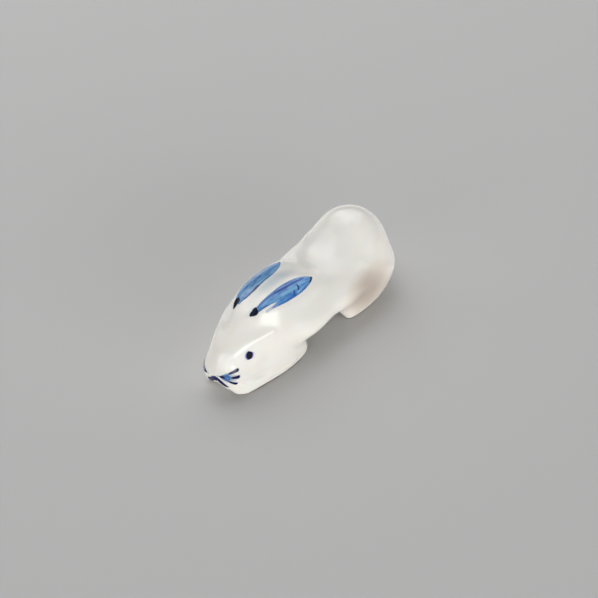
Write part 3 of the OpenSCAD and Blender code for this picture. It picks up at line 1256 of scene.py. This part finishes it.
@dataclass
class Face:
    """Paint of the face: eyes, nose, mouth and whiskers.

    An eye is blue where it thins out at the rim. The mouth falls from the nose in a shallow S.
    """

    eye: Mark = Mark(
        "eye",
        (5.0, -24.2, 10.15),
        Bearing(70, 5),
        Line(
            (
                (-0.22, -1.08, 0.1), (-0.2, -0.94, 0.5), (-0.1, -0.5, 0.84), (-0.06, 0.0, 0.92),
                (-0.02, 0.5, 0.82), (0.06, 0.86, 0.5), (0.12, 0.98, 0.1),
            ),
            margin=0.5,
        ),
        CobaltFinish(
            light=(22, 20, 24), wash=(6, 6, 12), deep=(12, 26, 150),
            pool=0.0, rim_darkness=1.0, rim_width=0.5, feather=0.14, cover=1.0,
            halo=0.5, halo_cover=0.42, shine=0.5,
        ),
        (24, 36),
    )
    nose: Mark = Mark(
        "nose",
        (0.0, -30.2, 5.6),
        Bearing(0, 0),
        Line(
            (
                (-0.95, -1.4, 0.14), (-0.6, -1.05, 0.66), (-0.1, -0.65, 0.8), (0.3, -0.2, 0.54),
                (0.55, 0.16, 0.12),
            )
        ),
        CobaltFinish(
            light=(44, 44, 128), wash=(16, 20, 92), deep=(6, 8, 60),
            pool=0.4, feather=0.14, cover=1.0, shine=0.4,
        ),
        (14, 20),
    )
    mouth: Mark = Mark(
        "mouth",
        (0.3, -30.2, 6.09),
        Bearing(15, 0),
        Line(
            (
                (-0.25, -0.3, 0.24), (0.3, -0.64, 0.5), (0.95, -1.16, 0.62),
                (1.65, -1.75, 0.66), (2.35, -2.28, 0.56), (2.95, -2.72, 0.16),
            )
        ),
        CobaltFinish(
            light=(14, 22, 96), wash=(4, 8, 66), deep=(2, 4, 44),
            pool=0.4, feather=0.1, cover=1.0, hairs=3.0, shine=0.4,
        ),
        (10, 44),
    )
    right_mouth_place: Point3 = (0.3, -30.2, 5.2)
    groove_steps: int = 12
    whisker_brush: Bearing = Bearing(45, 0)
    whisker_place: Point3 = (1.12, -30.15, 6.26)
    right_whisker_place: Point3 = (1.9, -29.9, 5.55)
    whisker_tips: tuple[tuple[Point2, Point2], ...] = (
        ((2.4, 1.12), (4.0, 1.56)), ((2.9, 0.16), (4.15, 0.04)), ((2.3, -0.84), (3.6, -1.56)),
    )
    whisker_ink: Colour = (2, 8, 72)
    whisker_root: Pass = Pass((-0.2, 0.0), (0.7, 0.05), 0.2, 0.34)
    root_ink: Pass = Pass((-0.2, 0.0), (0.85, 0.05), 0.3, 0.36, (6, 22, 84), 0.2, 1.4)
    left_wash: tuple[Pass, ...] = (
        Pass((0.7, 0.05), (1.8, 0.1), 0.4, 0.7, softness=0.5),
        Pass((1.6, 0.15), (3.1, 0.1), 0.8, 0.5, softness=0.7, strength=0.5),
    )
    wash_inks: tuple[Pass, ...] = (
        Pass((0.9, 0.1), (2.0, 0.5), 0.25, 0.3, (46, 100, 172), 0.25, 0.8),
        Pass((0.9, 0.0), (1.8, -0.5), 0.2, 0.24, (52, 104, 176), 0.25, 0.7),
    )
    right_ink: Pass = Pass((0.0, 0.0), (2.4, 1.12), 0.3, 0.3, (20, 34, 84), strength=1.4)

    def mouth_lines(self, surface: BVHTree) -> list[list[Vector]]:
        """Follows the lines of the mouth, for the groove that they lie in.

        Args:
            surface: The body's surface in the CAD.

        Returns:
            The points of each line, from the nose down.
        """
        shares = (step / self.groove_steps for step in range(self.groove_steps + 1))
        points = [curve(self.mouth.form.rows, share)[:2] for share in shares]
        return [[self.mouth.land(surface, side, *point)[0] for point in points] for side in Side]

    def whiskers(self, side: Side) -> Mark:
        """Draws three whiskers with dark thick tips.

        Args:
            side: Their side. Wash joins the left ones near the root, and the right ones are bare.

        Returns:
            The mark.
        """
        tips = self.whisker_tips
        core = (
            *(Pass((0.0, 0.0), start, 0.14, 0.18, softness=0.1) for start, _ in tips),
            *(Pass(start, end, 0.24, 0.38, softness=0.1) for start, end in tips),
            self.whisker_root,
        )
        inks = (
            *self.wash_inks,
            *(Pass(start, end, 0.3, 0.42, self.whisker_ink, 0.16, 1.5) for start, end in tips),
            self.root_ink,
        )
        place = self.whisker_place
        if side is Side.LEFT:
            core += self.left_wash
        else:
            place, inks = self.right_whisker_place, (*inks, self.right_ink)
        finish = CobaltFinish(
            light=(108, 156, 210), wash=(56, 110, 180), deep=(34, 78, 158),
            pool=0.5, rim_darkness=0.0, feather=0.1, cover=1.0, shine=0.6, passes=inks, core_passes=core,
        )
        return Mark("whiskers", place, self.whisker_brush, Fan(), finish, (48, 24))

    def marks(self, side: Side) -> tuple[Mark, ...]:
        """Draws the marks of one half of the face.

        Args:
            side: The half's side. The mouth runs a little lower on the right.

        Returns:
            The eye, the half of the mouth and the whiskers.
        """
        mouth = self.mouth if side is Side.LEFT else replace(self.mouth, place=self.right_mouth_place)
        return self.eye, mouth, self.whiskers(side)


@dataclass
class Painting:
    """All the brushwork."""

    ears: Ears = field(default_factory=Ears)
    face: Face = field(default_factory=Face)

    def paint(self, surface: BVHTree, effects: Effects) -> None:
        """Lays every mark on the body.

        Args:
            surface: The body's surface.
            effects: The shared effects.
        """
        for side in Side:
            for mark in (*self.ears.marks(side), *self.face.marks(side)):
                mark.build(side, surface, effects)
        self.face.nose.build(None, surface, effects)


@dataclass(frozen=True)
class Lamp:
    """A soft lamp that looks at the object, with its distance and size in metres."""

    name: str
    bearing: Bearing
    distance: float
    size: Point2
    power: float

    def hang(self, target: Vector) -> None:
        """Hangs the lamp.

        Args:
            target: The point that it looks at.
        """
        light = bpy.data.lights.new(self.name, "AREA")
        light.shape = "RECTANGLE"
        light.size, light.size_y = self.size
        light.energy = self.power
        self.bearing.aim(enter(self.name, light), target, self.distance)


@dataclass
class Studio:
    """The table, the soft light and the camera at the photograph's angle.

    The scale is in pixels for a millimetre, and the offset in millimetres across and up the picture.
    """

    bearing: Bearing = Bearing(36.938, 39.976)
    distance: float = 450.0
    scale: float = 4.462
    target: Point3 = (0.0, 0.0, 8.0)
    offset: Point2 = (0.049, -0.636)
    frame_width: int = 598
    sensor: float = 36.0
    near_clip: float = 0.01
    table_size: float = 3.0
    paper: PaperFinish = PaperFinish()
    air: Colour = (255, 253, 250)
    air_power: float = 0.08
    lamps: tuple[Lamp, ...] = (
        Lamp("left softbox", Bearing(-95.0, 54.0), 0.9, (1.1, 1.1), 3.9),
        Lamp("back softbox", Bearing(-143.0, 56.0), 0.9, (1.1, 1.1), 4.2),
        Lamp("front panel", Bearing(12.0, 9.0), 0.9, (1.0, 0.28), 2.2),
        Lamp("right panel", Bearing(75.0, 9.0), 0.9, (1.0, 0.28), 4.5),
    )

    def camera(self) -> None:
        """Sets the camera where the photographer's was."""
        right, up, _ = self.bearing.axes()
        lens = bpy.data.cameras.new("camera")
        lens.sensor_width = self.sensor
        lens.lens = self.scale * self.distance / self.frame_width * self.sensor
        lens.clip_start = self.near_clip
        holder = enter("camera", lens)
        middle = Vector(self.target) + right * self.offset[0] + up * self.offset[1]
        self.bearing.aim(holder, middle * MM, self.distance * MM)
        bpy.context.scene.camera = holder

    def table(self, effects: Effects) -> None:
        """Lays the table top, which is wide enough to be the backdrop too.

        Args:
            effects: The shared effects.
        """
        bm = bmesh.new()
        bmesh.ops.create_grid(bm, x_segments=1, y_segments=1, size=self.table_size)
        mesh = bpy.data.meshes.new("table")
        bm.to_mesh(mesh)
        bm.free()
        mesh.materials.append(self.paper.build("grey_paper", effects))
        enter("table", mesh)

    def light(self) -> None:
        """Lights the scene."""
        world = bpy.data.worlds.new("studio air")
        world.use_nodes = True
        air = world.node_tree.nodes["Background"].inputs
        air["Color"].default_value, air["Strength"].default_value = linear(self.air), self.air_power
        bpy.context.scene.world = world
        for lamp in self.lamps:
            lamp.hang(Vector(self.target) * MM)

    def build(self, effects: Effects) -> None:
        """Sets up the whole studio.

        Args:
            effects: The shared effects.
        """
        self.camera()
        self.table(effects)
        self.light()
        bpy.context.scene.view_settings.view_transform = "Standard"


def main() -> None:
    """Builds the studio, the body and its brushwork, in that order."""
    logging.basicConfig(level=logging.INFO, format="%(message)s")
    effects, painting = Effects(), Painting()
    Studio().build(effects)
    mouths = painting.face.mouth_lines(skin(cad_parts["body"].data))
    body = PorcelainBody().build(effects, mouths)
    painting.paint(skin(body.data), effects)


if __name__ == "__main__":
    main()
